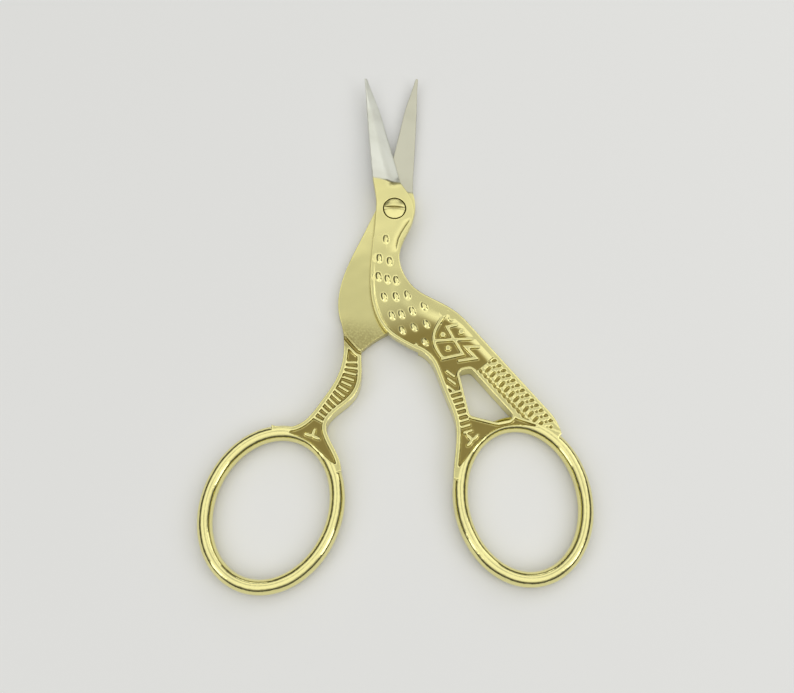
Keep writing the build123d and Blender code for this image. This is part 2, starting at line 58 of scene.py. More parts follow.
# Halves, in millimetres. What is carved is measured on the front half as it lies shut.
HALF_TURN = 10.1  # degrees that each half is turned from shut to rest
FACE = 3.24
MIDDLE = FACE / 2
CARVED_FROM = 2.35  # lower places stay as they were cast
CARVED_TO = -50.0
BODY_END = -29.5
FRONT_CUTS = (-19, -37, -52)
BACK_CUTS = (-30, -50)
FRONT_EDGE = (0.42, 5.4)  # slope and height of the edge between plating and steel
BACK_EDGE = (0.0, 4.0)
BACK_HEM = 0.5  # how dark the hem of the back plate is
BLADE_ROOT = 2.5

# Field of feathers, which sinks in slowly from the neck and from the nape
FIELD_START = -4.5
FIELD_END = -25.3
FIELD_DEPTH = 0.5
FIELD_FADE = 2.8
FEATHER_REACH = 1.05
FEATHER_RIM = 0.25
FEATHERS = (
    (-2.55, -5.31), (-4.28, -8.48), (-2.69, -9.36), (-5.04, -11.64), (-3.66, -12.4),
    (-2.28, -12.9), (-4.83, -15.33), (-2.9, -15.69), (-0.97, -15.76), (-4.21, -18.77),
    (-2.62, -18.87), (-0.76, -18.67), (1.31, -18.29), (-3.04, -21.61), (-1.04, -21.45),
    (1.07, -21.33), (0.23, -24.29),
)
NAPE = (
    (4.0, -19.7), (1.7, -17.8), (-0.28, -15.88), (-1.49, -13.52), (-1.92, -11.07),
    (-1.57, -8.74), (-0.53, -6.74), (1.38, -4.14),
)
NAPE_END = -20.6
NAPE_RIM = 0.45
NAPE_FOOT = (0.3, -0.2)  # middle of the rounded foot of the nape, from its first point
NAPE_FOOT_REACH = 0.75

# Crease behind the head, soft on the first side and steep on the second
CREASE = ((2.35, -2.1), (1.13, -3.4), (0.13, -4.5), (-0.58, -5.5), (-1.08, -6.7), (-1.3, -8.0))
CREASE_SPAN = (-8.2, -1.9)
CREASE_START = (-8.0, -6.2)
CREASE_END = (-2.9, -2.1)
CREASE_REACH = 1.6
CREASE_WIDTHS = (0.55, 0.13)
CREASE_DEPTH = 0.26

# Wing, whose panel fades out at the bead
WING_EDGE = ((4.83, -19.99), (1.72, -24.0))
WING_RIM = ((4.3, -19.9), (5.4, -20.75), (6.95, -22.7), (10.4, -29.0))
WING_START = -19.0
WING_BEAD = 0.5
WING_FADE = 1.4

# Band of loops on the tail, measured along its outer edge and inwards from it
TAIL_START = (7.67, -22.29)
TAIL_SLOPE = 28.9
BAND_SIDES = (0.6, 4.3)
BAND_FADE = (7.35, 7.6)
BAND_MIDDLE = 2.79
BAND_DRIFT = 0.022  # how much the middle moves outwards in each millimetre
LOOP_PITCH = 1.11
LOOP_FIRST = 8.38
LOOP_FADE = (7.0, 7.4)
HEM_PLACE = 26.9  # where the band's lower hem meets the outer edge
HEM_SLOPE = 1.905
HEM_STRETCH = 2.15
HEM_RIM = 0.45
HEM_FADE = (0.55, 0.75)
PIT_EDGE = (0.45, 1.25)
# Rows of oval pits between the loops: place along from the first loop and inwards from the
# middle, lean, half length along and inwards, depth, and where the row ends
PIT_ROWS = (
    (0.0, 0.0, -0.12, 0.29, 0.74, 0.42, math.inf),
    (-0.47, -1.68, 0.3, 0.27, 0.42, 0.38, 21.8),
    (0.32, -0.98, 0.0, 0.23, 0.27, 0.34, math.inf),
    (0.5, 1.1, -0.5, 0.4, 0.3, 0.38, math.inf),
    (LOOP_PITCH / 2, 0.0, -0.12, 0.12, 0.5, 0.13, math.inf),
)
BRAID_START = (-2.1, -1.7)
BRAID_END = (1.0, 1.3)
BRAID_DEPTH = 0.07
SEAM_PLACE = 1.08
SEAM_EDGE = (0.08, 0.22)
SEAM_DEPTH = 0.3

# Ridge of the front blade, in a band that narrows towards the tip, and the end of its bevel
RIDGE_START = 3.4
RIDGE_TIP = 26.0
RIDGE_LENGTH = 19.4
RIDGE_LINE = -0.4
RIDGE_BAND = 1.2
RIDGE_FLOOR = 1.75
RIDGE_PASSES = 70
BEVEL_END_X = (-0.8, 1.85)
BEVEL_END_Y = (3.0, 7.8)

# Screw, in millimetres
SCREW_GRAIN = 0.04
SCREW_PASSES = 6
HEAD_BASE = 3.2
HEAD_RADIUS = 1.8
DOME_FALL = 0.3
NO_STEEL = 1.0  # in metres: an edge so far out that the whole piece is plated

# Metal: places in millimetres, and patterns in repeats to the metre
METAL = "Plated casting"
EDGE_WAVES = 500.0
EDGE_WAVER = 0.4
EDGE_FADE = (-0.25, 0.25)
# Painted shade: the sunk floors and the hollows are darkened in the colour
SUNK_FLOOR = (0.95, 1.05)  # distance from the middle where the sunk floors begin
SUNK_FACE = (1.22, 1.5)  # and where the face takes over
SUNK_FLAT = (0.8, 0.97)
SUNK_SHARE = 0.93
HOLLOW_REACH = 0.7
HOLLOW_LIGHT = (0.35, 0.85)
HOLLOW_END = (2.2, 3.0)
HOLLOW_SHARE = 0.9
CLOUD_SCALE = 180.0
TARNISH = (0.62, 0.58, 0.30, 1)
TARNISH_CLOUD = (0.45, 0.75)
TARNISH_SHARE = 0.25
HEM_TOP = (-19.0, -23.5)
HEM_BOTTOM = (-26.5, -25.0)
HEM_GRAIN = 3000.0
HEM_GRAIN_RANGE = (0.3, 0.6)
STAIN = (0.5, 0.49, 0.38, 1)
STAIN_SCALE = 260.0
STAIN_CLOUD = (0.4, 0.7)
STAIN_SHARE = 0.22
HEAD = (-14.0, -2.0)
ROUGHNESS = {"polished": 0.1, "head": 0.16, "cloud": 0.06, "shaded_recess": 0.2, "steel": 0.14}
PIT_SCALE = 1400.0
PIT_SIZE = (0.05, 0.16)
GRIT_SCALE = 2600.0
GRINDING_SCALE = 7000.0
GRINDING_LEAN = -24
GRINDING_STRETCH = 0.05
RELIEF = {"pits": 0.25, "grit": 0.3, "steel": 0.5, "plating": 0.1}
SWELL_SCALE = 210.0
SWELL_HEIGHT = 0.22
RELIEF_STRENGTH = 0.25
RELIEF_HEIGHT = 0.02

# Studio: a sky that brightens upwards, a dimmer patch in it, and soft boxes, in metres and watts
SKY_LOW = (0.05, (0.05, 0.05, 0.045))
SKY_MIDDLE = (0.42, (0.12, 0.12, 0.115))
SKY_HIGH = (0.72, (1.0, 1.0, 0.98))
SKY_STRENGTH = 1.05
PATCH_ELEVATION = 74
PATCH_EDGE = (15, 7)
PATCH_SHADE = 0.62
SOFT_BOXES = (
    ("soft box right", 0.10, (0.10, 0.16), (0.26, -0.16, 0.20), (0.01, -0.03, 0)),
    ("soft box left", 0.08, (0.10, 0.16), (-0.26, -0.18, 0.18), (0, -0.03, 0)),
    ("soft box far", 0.05, (0.20, 0.06), (0.0, 0.30, 0.14), (0, -0.03, 0)),
    ("soft box blade", 0.10, (0.20, 0.16), (0.26, 0.16, 0.175), (0, 0.01, 0)),
)
FLOOR_SIZE = 4.0

# Camera, which sees the screw's head where the photograph shows it: pixels, degrees, millimetres
PHOTO_MIDDLE = (397.0, 346.5)
PHOTO_SCREW = (394.5, 207.5)
PHOTO_FOCAL = 1178.0
CAMERA_ELEVATION = 72.0
CAMERA_TURN = -1.3
CAMERA_DISTANCE = 199.5
SCREW_TOP = 3.5


class CastingSettings(bpy.types.PropertyGroup):
    grain: bpy.props.FloatProperty(
        name="Casting size",
        description="Size of the smallest form that the casting keeps",
        default=0.1 * MM,
        unit="LENGTH",
    )
    softness: bpy.props.IntProperty(
        name="Polish",
        description="How often the polishing wheel passes over the edges",
        default=5,
    )
    ring_width: bpy.props.FloatProperty(
        name="Ring width",
        description="Width of the bar of the finger rings",
        default=2.45 * MM,
        unit="LENGTH",
    )
    ring_height: bpy.props.FloatProperty(
        name="Ring height",
        description="Height of the bar of the finger rings",
        default=3.1 * MM,
        unit="LENGTH",
    )


class FinishSettings(bpy.types.PropertyGroup):
    gold: bpy.props.FloatVectorProperty(
        name="Gold plating",
        description="Pale gold of the polished relief",
        subtype="COLOR",
        size=3,
        default=(0.88, 0.82, 0.37),
    )
    # Painted shade: the sunk panels and hollows are darkened towards this colour, which also stands for
    # their dull unpolished gold and darkens the hem
    shaded_recess: bpy.props.FloatVectorProperty(
        name="Shaded Recess",
        description="Gold in the sunk panels, which the wheel doesn't reach",
        subtype="COLOR",
        size=3,
        default=(0.24, 0.18, 0.04),
    )
    steel: bpy.props.FloatVectorProperty(
        name="Steel",
        description="Bare ground steel of the blades",
        subtype="COLOR",
        size=3,
        default=(0.86, 0.87, 0.78),
    )
    worn_steel: bpy.props.FloatVectorProperty(
        name="Worn steel",
        description="Satin steel of the back blade",
        subtype="COLOR",
        size=3,
        default=(0.66, 0.65, 0.52),
    )


class StageSettings(bpy.types.PropertyGroup):
    floor: bpy.props.FloatVectorProperty(
        name="Floor",
        description="Colour of the floor",
        subtype="COLOR",
        size=3,
        default=(0.86, 0.86, 0.85),
    )
    lens: bpy.props.FloatProperty(
        name="Lens",
        description="Focal length of the camera in millimetres",
        default=53.4,
    )


def new_material(name):
    """Material with its node tree and its shader."""
    material = bpy.data.materials.new(name)
    material.use_nodes = True
    return material, material.node_tree, material.node_tree.nodes["Principled BSDF"]


def worn_metal_group():
    """Colour, roughness and normal of worn metal: plating, bare steel, recess and grinding."""
    group = bpy.data.node_groups.new(METAL, "ShaderNodeTree")
    for name, direction, kind in (
        ("Turn", "INPUT", "NodeSocketFloat"),
        ("Edge Slope", "INPUT", "NodeSocketFloat"),
        ("Edge Height", "INPUT", "NodeSocketFloat"),
        ("Plating", "INPUT", "NodeSocketColor"),
        ("Shaded Recess", "INPUT", "NodeSocketColor"),
        ("Steel", "INPUT", "NodeSocketColor"),
        ("Hem Shade", "INPUT", "NodeSocketFloat"),
        ("Color", "OUTPUT", "NodeSocketColor"),
        ("Roughness", "OUTPUT", "NodeSocketFloat"),
        ("Normal", "OUTPUT", "NodeSocketVector"),
    ):
        group.interface.new_socket(name=name, in_out=direction, socket_type=kind)
    nodes, links = group.nodes, group.links
    inputs = nodes.new("NodeGroupInput")
    outputs = nodes.new("NodeGroupOutput")
    place = nodes.new("ShaderNodeTexCoord")

    def math_node(operation, first, second=None, clamp=False):
        node = nodes.new("ShaderNodeMath")
        node.operation = operation
        node.use_clamp = clamp
        for index, value in enumerate((first, second)):
            if isinstance(value, (int, float)):
                node.inputs[index].default_value = value
            elif value is not None:
                links.new(value, node.inputs[index])
        return node.outputs[0]

    def times(first, second):
        return math_node("MULTIPLY", first, second)

    def plus(first, second):
        return math_node("ADD", first, second)

    def ranged(value, span, start=0.0, end=1.0, unit=1.0):
        node = nodes.new("ShaderNodeMapRange")
        node.interpolation_type = "SMOOTHSTEP"
        links.new(value, node.inputs["Value"])
        node.inputs["From Min"].default_value = span[0] * unit
        node.inputs["From Max"].default_value = span[1] * unit
        node.inputs["To Min"].default_value = start
        node.inputs["To Max"].default_value = end
        return node.outputs["Result"]

    def noise(vector, scale, detail=2.0, roughness=0.5):
        node = nodes.new("ShaderNodeTexNoise")
        links.new(vector, node.inputs["Vector"])
        node.inputs["Scale"].default_value = scale
        node.inputs["Detail"].default_value = detail
        node.inputs["Roughness"].default_value = roughness
        return node.outputs["Fac"]

    def mixed(factor, first, second):
        node = nodes.new("ShaderNodeMix")
        node.data_type = "RGBA"
        links.new(factor, node.inputs[0])
        for index, value in ((6, first), (7, second)):
            if isinstance(value, tuple):
                node.inputs[index].default_value = value
            else:
                links.new(value, node.inputs[index])
        return node.outputs[2]

    def bump(height, strength, reach, normal=None):
        node = nodes.new("ShaderNodeBump")
        node.inputs["Strength"].default_value = strength
        node.inputs["Distance"].default_value = reach * MM
        links.new(height, node.inputs["Height"])
        if normal is not None:
            links.new(normal, node.inputs["Normal"])
        return node.outputs["Normal"]

    # the half turned back to where it lies shut, for the edge between plating and steel
    turned = nodes.new("ShaderNodeVectorRotate")
    turned.rotation_type = "Z_AXIS"
    links.new(place.outputs["Object"], turned.inputs["Vector"])
    links.new(inputs.outputs["Turn"], turned.inputs["Angle"])
    shut = turned.outputs[0]
    parts = nodes.new("ShaderNodeSeparateXYZ")
    links.new(shut, parts.inputs[0])
    x, y, z = parts.outputs
    waver = times(math_node("SUBTRACT", noise(shut, EDGE_WAVES), 0.5), EDGE_WAVER * MM)
    edge = plus(plus(times(inputs.outputs["Edge Slope"], x), y), waver)
    edge = math_node("SUBTRACT", edge, inputs.outputs["Edge Height"])
    bare = ranged(edge, EDGE_FADE, unit=MM)

    # painted shade: sunk floors on either side of the casting, and hollows that little light reaches,
    # are darkened in the colour
    level = math_node("ABSOLUTE", math_node("SUBTRACT", z, MIDDLE * MM))
    facing = nodes.new("ShaderNodeSeparateXYZ")
    links.new(place.outputs["Normal"], facing.inputs[0])
    sunk = times(ranged(level, SUNK_FLOOR, unit=MM), ranged(level, SUNK_FACE, 1.0, 0.0, MM))
    sunk = times(sunk, ranged(math_node("ABSOLUTE", facing.outputs["Z"]), SUNK_FLAT))
    hollow = nodes.new("ShaderNodeAmbientOcclusion")
    hollow.inputs["Distance"].default_value = HOLLOW_REACH * MM
    hollow.samples = 8
    shade = ranged(hollow.outputs["AO"], HOLLOW_LIGHT, 1.0, 0.0)
    shade = times(shade, ranged(y, HOLLOW_END, 1.0, 0.0, MM))
    painted_shade = math_node("MAXIMUM", times(shade, HOLLOW_SHARE), times(sunk, SUNK_SHARE), clamp=True)

    # colour: tarnished plating, painted shade in the recesses, the ground hem and stained steel
    cloud = noise(place.outputs["Object"], CLOUD_SCALE, 4.0)
    tarnish = ranged(cloud, TARNISH_CLOUD, 0.0, TARNISH_SHARE)
    plated = mixed(tarnish, inputs.outputs["Plating"], TARNISH)
    plated = mixed(painted_shade, plated, inputs.outputs["Shaded Recess"])
    hem = times(ranged(y, HEM_TOP, unit=MM), ranged(y, HEM_BOTTOM, unit=MM))
    hem = times(hem, inputs.outputs["Hem Shade"])
    hem = times(hem, ranged(noise(shut, HEM_GRAIN), HEM_GRAIN_RANGE, 0.5, 1.0))
    plated = mixed(hem, plated, inputs.outputs["Shaded Recess"])
    stain = ranged(noise(shut, STAIN_SCALE, 3.0), STAIN_CLOUD, 0.0, STAIN_SHARE)
    steel = mixed(stain, inputs.outputs["Steel"], STAIN)
    links.new(mixed(bare, plated, steel), outputs.inputs["Color"])

    # roughness: mirror polish on the high places, satin on the head, ground steel on the blade
    head = ranged(y, HEAD, unit=MM)
    rough = plus(times(head, ROUGHNESS["head"]), ROUGHNESS["polished"])
    for share, name in ((cloud, "cloud"), (painted_shade, "shaded_recess"), (bare, "steel")):
        rough = plus(rough, times(share, ROUGHNESS[name]))
    links.new(rough, outputs.inputs["Roughness"])

    # fine pits on the satin parts and grinding lines across the blade
    pits = nodes.new("ShaderNodeTexVoronoi")
    links.new(place.outputs["Object"], pits.inputs["Vector"])
    pits.inputs["Scale"].default_value = PIT_SCALE
    pitted = ranged(pits.outputs["Distance"], PIT_SIZE)
    grit = noise(place.outputs["Object"], GRIT_SCALE, 3.0, 0.6)
    stretched = nodes.new("ShaderNodeMapping")
    links.new(shut, stretched.inputs["Vector"])
    stretched.inputs["Rotation"].default_value = (0, 0, math.radians(GRINDING_LEAN))
    stretched.inputs["Scale"].default_value = (GRINDING_STRETCH, 1.0, 1.0)
    lines = noise(stretched.outputs[0], GRINDING_SCALE, 2.0, 0.6)
    relief = plus(times(pitted, times(head, RELIEF["pits"])), times(grit, RELIEF["grit"]))
    ground = plus(times(bare, RELIEF["steel"]), RELIEF["plating"])
    relief = plus(relief, times(lines, ground))
    swell = times(noise(place.outputs["Object"], SWELL_SCALE, 1.0), math_node("SUBTRACT", 1.0, bare))
    normal = bump(swell, 1.0, SWELL_HEIGHT)
    links.new(bump(relief, RELIEF_STRENGTH, RELIEF_HEIGHT, normal), outputs.inputs["Normal"])
    return group


def casting_material(name, turn, slope, height, steel=None, hem=0.0):
    """Gold plating over steel: bare on the blade, darker in the sunk panels, where shade is painted
    into the colour.
    """
    finish = bpy.context.scene.scissors_finish
    material, tree, shader = new_material(name)
    surface = tree.nodes.new("ShaderNodeGroup")
    surface.node_tree = bpy.data.node_groups.get(METAL) or worn_metal_group()
    surface.inputs["Turn"].default_value = turn
    surface.inputs["Edge Slope"].default_value = slope
    surface.inputs["Edge Height"].default_value = height
    surface.inputs["Plating"].default_value = (*finish.gold, 1)
    surface.inputs["Shaded Recess"].default_value = (*finish.shaded_recess, 1)
    surface.inputs["Steel"].default_value = (*(steel or finish.steel), 1)
    surface.inputs["Hem Shade"].default_value = hem
    tree.links.new(surface.outputs["Color"], shader.inputs["Base Color"])
    tree.links.new(surface.outputs["Roughness"], shader.inputs["Roughness"])
    tree.links.new(surface.outputs["Normal"], shader.inputs["Normal"])
    shader.inputs["Metallic"].default_value = 1.0
    return material


def piece_from(mesh, name, body, slot, material, *nodes):
    """Finished piece at the origin, riding on its body in place of its CAD nodes."""
    mesh.materials.clear()
    mesh.materials.append(material)
    piece = bpy.data.objects.new(name, mesh)
    bpy.context.scene.collection.objects.link(piece)
    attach(piece, body)
    if nodes:
        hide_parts(*nodes)
    return piece


def round_curve(name, dimensions, resolution):
    """Closed round curve of radius 1 about the origin."""
    curve = bpy.data.curves.new(name, "CURVE")
    curve.dimensions = dimensions
    curve.resolution_u = resolution
    spline = curve.splines.new("BEZIER")
    spline.bezier_points.add(3)
    spline.use_cyclic_u = True
    for point, (x, y) in zip(spline.bezier_points, ((1, 0), (0, 1), (-1, 0), (0, -1))):
        point.co = (x, y, 0)
        point.handle_left_type = point.handle_right_type = "FREE"
        point.handle_left = (x + QUARTER_HANDLE * y, y - QUARTER_HANDLE * x, 0)
        point.handle_right = (x - QUARTER_HANDLE * y, y + QUARTER_HANDLE * x, 0)
    return curve


def ring_mesh(ring, width, height):
    """Smooth oval bar bent round a finger hole."""
    path = round_curve("bar path", "3D", 48)
    half_x, half_y = (half * MM + width / 2 for half in ring["hole"])
    place = Matrix.Translation((ring["center"][0] * MM, ring["center"][1] * MM, MIDDLE * MM))
    place = place @ Matrix.Rotation(math.radians(-ring["lean"]), 4, "Z")
    path.transform(place @ Matrix.Diagonal((half_x, half_y, 1, 1)))
    oval = round_curve("bar section", "2D", 16)
    spare = BAR_SPARE * MM
    oval.transform(Matrix.Diagonal((width / 2 + spare, height / 2 + spare, 1, 1)))
    section_object = bpy.data.objects.new("bar section", oval)
    path_object = bpy.data.objects.new("bar path", path)
    bpy.context.scene.collection.objects.link(section_object)
    bpy.context.scene.collection.objects.link(path_object)
    path.bevel_mode = "OBJECT"
    path.bevel_object = section_object
    bpy.context.view_layer.update()
    graph = bpy.context.evaluated_depsgraph_get()
    mesh = bpy.data.meshes.new_from_object(path_object.evaluated_get(graph))
    bpy.data.objects.remove(path_object)
    bpy.data.objects.remove(section_object)
    return mesh


def cast(form, name, grain, passes):
    """The joined forms as one casting, its edges rounded by polishing."""
    mesh = bpy.data.meshes.new(name)
    form.to_mesh(mesh)
    form.free()
    mould = bpy.data.objects.new(name, mesh)
    bpy.context.scene.collection.objects.link(mould)
    remesh = mould.modifiers.new("casting", "REMESH")
    remesh.mode = "VOXEL"
    remesh.voxel_size = grain
    smooth = mould.modifiers.new("polish", "SMOOTH")
    smooth.factor = 0.5
    smooth.iterations = passes
    graph = bpy.context.evaluated_depsgraph_get()
    made = bpy.data.meshes.new_from_object(mould.evaluated_get(graph))
    bpy.data.objects.remove(mould)
    bpy.data.meshes.remove(mesh)
    made.name = name
    made.shade_smooth()
    return made


def section(mesh, name, top, bottom):
    """The part of a casting between two cuts across it, closed there, with its shading kept."""
    form = bmesh.new()
    form.from_mesh(mesh)
    layer = form.verts.layers.float_vector.new("kept normal")
    for vert in form.verts:
        vert[layer] = vert.normal
    for height, upper in ((top, True), (bottom, False)):
        if height is None:
            continue
        bmesh.ops.bisect_plane(
            form,
            geom=form.verts[:] + form.edges[:] + form.faces[:],
            plane_co=(0, height, 0),
            plane_no=(0, 1, 0),
            clear_outer=upper,
            clear_inner=not upper,
        )
        rim = [edge for edge in form.edges if edge.is_boundary]
        bmesh.ops.holes_fill(form, edges=rim, sides=0)
    normals = [vert[layer].normalized() for vert in form.verts]
    form.verts.layers.float_vector.remove(layer)
    part = bpy.data.meshes.new(name)
    form.to_mesh(part)
    form.free()
    part.shade_smooth()
    part.normals_split_custom_set_from_vertices(normals)
    return part


def divide(mesh, names, cuts, body, slot, material, node):
    """Pieces of a casting from the blade down; the first stands in the place of its CAD node."""
    for name, top, bottom in zip(names, (None, *cuts), (*cuts, None)):
        part = section(mesh, name, top, bottom)
        if top is None:
            piece_from(part, name, body, slot, material, node)
        else:
            piece_from(part, name, body, slot, material)
    bpy.data.meshes.remove(mesh)


def blend(value, low, high):
    """Smooth step from 0 at low to 1 at high."""
    share = min(max((value - low) / (high - low), 0.0), 1.0)
    return share * share * (3.0 - 2.0 * share)


def path_distance(path, x, y):
    """Distance to a path of straight runs, and on which side the place lies."""
    nearest, side = 1e9, 1.0
    for (ax, ay), (bx, by) in zip(path, path[1:]):
        run_x, run_y = bx - ax, by - ay
        length = run_x * run_x + run_y * run_y
        share = min(max(((x - ax) * run_x + (y - ay) * run_y) / length, 0.0), 1.0)
        off_x, off_y = x - ax - share * run_x, y - ay - share * run_y
        distance = math.hypot(off_x, off_y)
        if distance < nearest:
            nearest = distance
            side = 1.0 if run_x * off_y - run_y * off_x > 0 else -1.0
    return nearest, side


def hem_distance(along, inward):
    """Distance from the band's lower hem."""
    return (HEM_PLACE - along - HEM_SLOPE * inward) / HEM_STRETCH


def loop_depth(along, inward):
    """Depth of the braided loops of the tail below the face."""
    inside = blend(hem_distance(along, inward), *HEM_FADE) * blend(along, *LOOP_FADE)
    if inside == 0.0:
        return 0.0
    middle = BAND_MIDDLE - BAND_DRIFT * (along - LOOP_FIRST)
    deepest = 0.0
    for first, column, lean, half_along, half_inward, depth, end in PIT_ROWS:
        if along >= end:
            continue
        across = inward - (middle + column)
        place = along - (LOOP_FIRST + first) + lean * across
        place -= LOOP_PITCH * round(place / LOOP_PITCH)
        reach = math.hypot(place / half_along, across / half_inward)
        deepest = max(deepest, depth * (1.0 - blend(reach, *PIT_EDGE)))
    from_start = blend(inward, middle + BRAID_START[0], middle + BRAID_START[1])
    from_end = blend(inward, middle + BRAID_END[0], middle + BRAID_END[1])
    braid = from_start * (1.0 - from_end)
    seam = 1.0 - blend(abs(inward - middle - SEAM_PLACE), *SEAM_EDGE)
    return inside * max(deepest, BRAID_DEPTH * braid, SEAM_DEPTH * seam)


def band_height(high, along, inward):
    """Height on the tail's band, with the loops in it."""
    inside = blend(along, *BAND_FADE)
    if hem_distance(along, inward) > HEM_RIM and inside > 0.0:
        high += inside * (FACE - loop_depth(along, inward) - high)
    return high


def field_height(high, x, y, nape):
    """Height in the field of feathers, at a distance from the nape."""
    share = min((FIELD_START - y) / (FIELD_START - FIELD_END), 1.0)
    cast_depth = FIELD_DEPTH * share
    depth = FIELD_DEPTH * share * share * blend(nape, 0.0, FIELD_FADE)
    on_feather = any(math.hypot(x - place[0], y - place[1]) < FEATHER_REACH for place in FEATHERS)
    if on_feather and nape > FEATHER_RIM:
        high += cast_depth - depth
    elif high < FACE:
        high += (FACE - high) * (1.0 - depth / max(cast_depth, 0.001))
    return high


def wing_height(high, x, y):
    """Height on the wing, whose panel comes up to the face beside the bead."""
    rim, rim_side = path_distance(WING_RIM, x, y)
    if high < FACE and (rim_side < 0 or rim < WING_BEAD):
        rim = rim if rim_side < 0 else 0.0
        high += (FACE - high) * (1.0 - blend(rim, 0.0, WING_FADE))
    return high


def body_height(high, x, y):
    """Height on the body: the nape, the field of feathers or the wing."""
    (edge_x, edge_y), (edge_end_x, edge_end_y) = WING_EDGE
    before_wing = (edge_end_x - edge_x) * (y - edge_y) - (edge_end_y - edge_y) * (x - edge_x)
    nape, nape_side = path_distance(NAPE, x, y)
    beyond_nape = nape_side < 0 and nape < NAPE_RIM and NAPE_END < y < FIELD_START
    foot = math.hypot(x - NAPE[0][0] - NAPE_FOOT[0], y - NAPE[0][1] - NAPE_FOOT[1])
    if beyond_nape or foot < NAPE_FOOT_REACH:
        return max(high, FACE)
    if y < FIELD_START and before_wing < 0 and nape_side > 0:
        return field_height(high, x, y, nape)
    if before_wing >= 0 and y < WING_START:
        return wing_height(high, x, y)
    return high


def crease_depth(x, y):
    """Depth of the crease behind the head."""
    crease, side = path_distance(CREASE, x, y)
    if crease >= CREASE_REACH:
        return 0.0
    fade = blend(y, *CREASE_START) * (1.0 - blend(y, *CREASE_END))
    width = CREASE_WIDTHS[0] if side < 0 else CREASE_WIDTHS[1]
    return CREASE_DEPTH * fade * math.exp(-crease / width)


def carve_front(mesh):
    """Braided tail, crease behind the head, and a field that fades out towards nape and neck."""
    turn = math.radians(-HALF_TURN)
    cos_turn, sin_turn = math.cos(turn), math.sin(turn)
    run_x, run_y = math.sin(math.radians(TAIL_SLOPE)), -math.cos(math.radians(TAIL_SLOPE))
    for vert in mesh.vertices:
        high = vert.co.z / MM
        if high < CARVED_FROM:
            continue
        rest_x, rest_y = vert.co.x / MM, vert.co.y / MM
        x = cos_turn * rest_x - sin_turn * rest_y
        y = sin_turn * rest_x + cos_turn * rest_y
        if y > 0 or y < CARVED_TO:
            continue
        from_x, from_y = x - TAIL_START[0], y - TAIL_START[1]
        along = from_x * run_x + from_y * run_y
        inward = from_x * run_y - from_y * run_x
        if along > BAND_FADE[0] and BAND_SIDES[0] < inward < BAND_SIDES[1]:
            high = band_height(high, along, inward)
        elif y > BODY_END and along < BAND_FADE[0]:
            high = body_height(high, x, y)
            if CREASE_SPAN[0] < y < CREASE_SPAN[1]:
                high -= crease_depth(x, y)
        vert.co.z = high * MM


def soften_ridge(mesh):
    """Ridge of the front blade and the end of its bevel, rubbed soft by the wheel."""
    turn = math.radians(-HALF_TURN)
    cos_turn, sin_turn = math.cos(turn), math.sin(turn)
    form = bmesh.new()
    form.from_mesh(mesh)
    ridge = []
    for vert in form.verts:
        if vert.co.z < RIDGE_FLOOR * MM or vert.co.y < BLADE_ROOT * MM:
            continue
        x = (cos_turn * vert.co.x - sin_turn * vert.co.y) / MM
        y = (sin_turn * vert.co.x + cos_turn * vert.co.y) / MM
        taper = min((RIDGE_TIP - y) / RIDGE_LENGTH, 1.0)
        along_ridge = y > RIDGE_START and abs(x - RIDGE_LINE * taper) < RIDGE_BAND * taper
        in_width = BEVEL_END_X[0] < x < BEVEL_END_X[1]
        if along_ridge or (in_width and BEVEL_END_Y[0] < y < BEVEL_END_Y[1]):
            ridge.append(vert)
    for _ in range(RIDGE_PASSES):
        bmesh.ops.smooth_vert(
            form, verts=ridge, factor=0.5, use_axis_x=False, use_axis_y=False, use_axis_z=True
        )
    form.to_mesh(mesh)
    form.free()
    mesh.shade_smooth()


def half_form(node, ring):
    """A forged half with the smooth bar of its ring laid over the free part of the ring."""
    casting = bpy.context.scene.scissors_casting
    bar = bmesh.new()
    bar.from_mesh(ring_mesh(ring, casting.ring_width, casting.ring_height))
    bmesh.ops.remove_doubles(bar, verts=bar.verts, dist=WELD)
    bmesh.ops.bisect_plane(
        bar,
        geom=bar.verts[:] + bar.edges[:] + bar.faces[:],
        plane_co=(0, (ring["center"][1] + BAR_END) * MM, 0),
        plane_no=(0, 1, 0),
        clear_outer=True,
    )
    bmesh.ops.holes_fill(bar, edges=[edge for edge in bar.edges if edge.is_boundary], sides=0)
    bmesh.ops.recalc_face_normals(bar, faces=bar.faces)
    bar_mesh = bpy.data.meshes.new("bar")
    bar.to_mesh(bar_mesh)
    bar.free()
    form = bmesh.new()
    form.from_mesh(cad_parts[node].data)
    bmesh.ops.remove_doubles(form, verts=form.verts, dist=WELD)
    form.from_mesh(bar_mesh)
    return form


class SCISSORS_OT_front_half(bpy.types.Operator):
    """Cast the front half, with the feathered body, the wing, the tail and the right ring"""

    bl_idname = "scissors.front_half"
    bl_label = "Front Half"

    def execute(self, context):
        casting = context.scene.scissors_casting
        form = half_form("front_half", FRONT_RING)
        mesh = cast(form, "front casting", casting.grain, casting.softness)
        carve_front(mesh)
        soften_ridge(mesh)
        slope, height = FRONT_EDGE
        material = casting_material("gilt front", math.radians(-HALF_TURN), slope, height * MM)
        names = ("front_neck", "front_body", "front_ring", "front_bow")
        cuts = [cut * MM for cut in FRONT_CUTS]
        divide(mesh, names, cuts, "front", "gilt_steel_front", material, "front_half")
        return {"FINISHED"}


class SCISSORS_OT_back_half(bpy.types.Operator):
    """Cast the back half, with the smooth plate, the shoulder and the left ring"""

    bl_idname = "scissors.back_half"
    bl_label = "Back Half"

    def execute(self, context):
        casting = context.scene.scissors_casting
        form = half_form("back_half", BACK_RING)
        mesh = cast(form, "back casting", casting.grain, casting.softness)
        worn = context.scene.scissors_finish.worn_steel
        slope, height = BACK_EDGE
        turn = math.radians(HALF_TURN)
        material = casting_material("gilt back", turn, slope, height * MM, worn, BACK_HEM)
        names = ("back_stork", "back_ring", "back_bow")
        cuts = [cut * MM for cut in BACK_CUTS]
        divide(mesh, names, cuts, "back", "gilt_steel_back", material, "back_half")
        return {"FINISHED"}


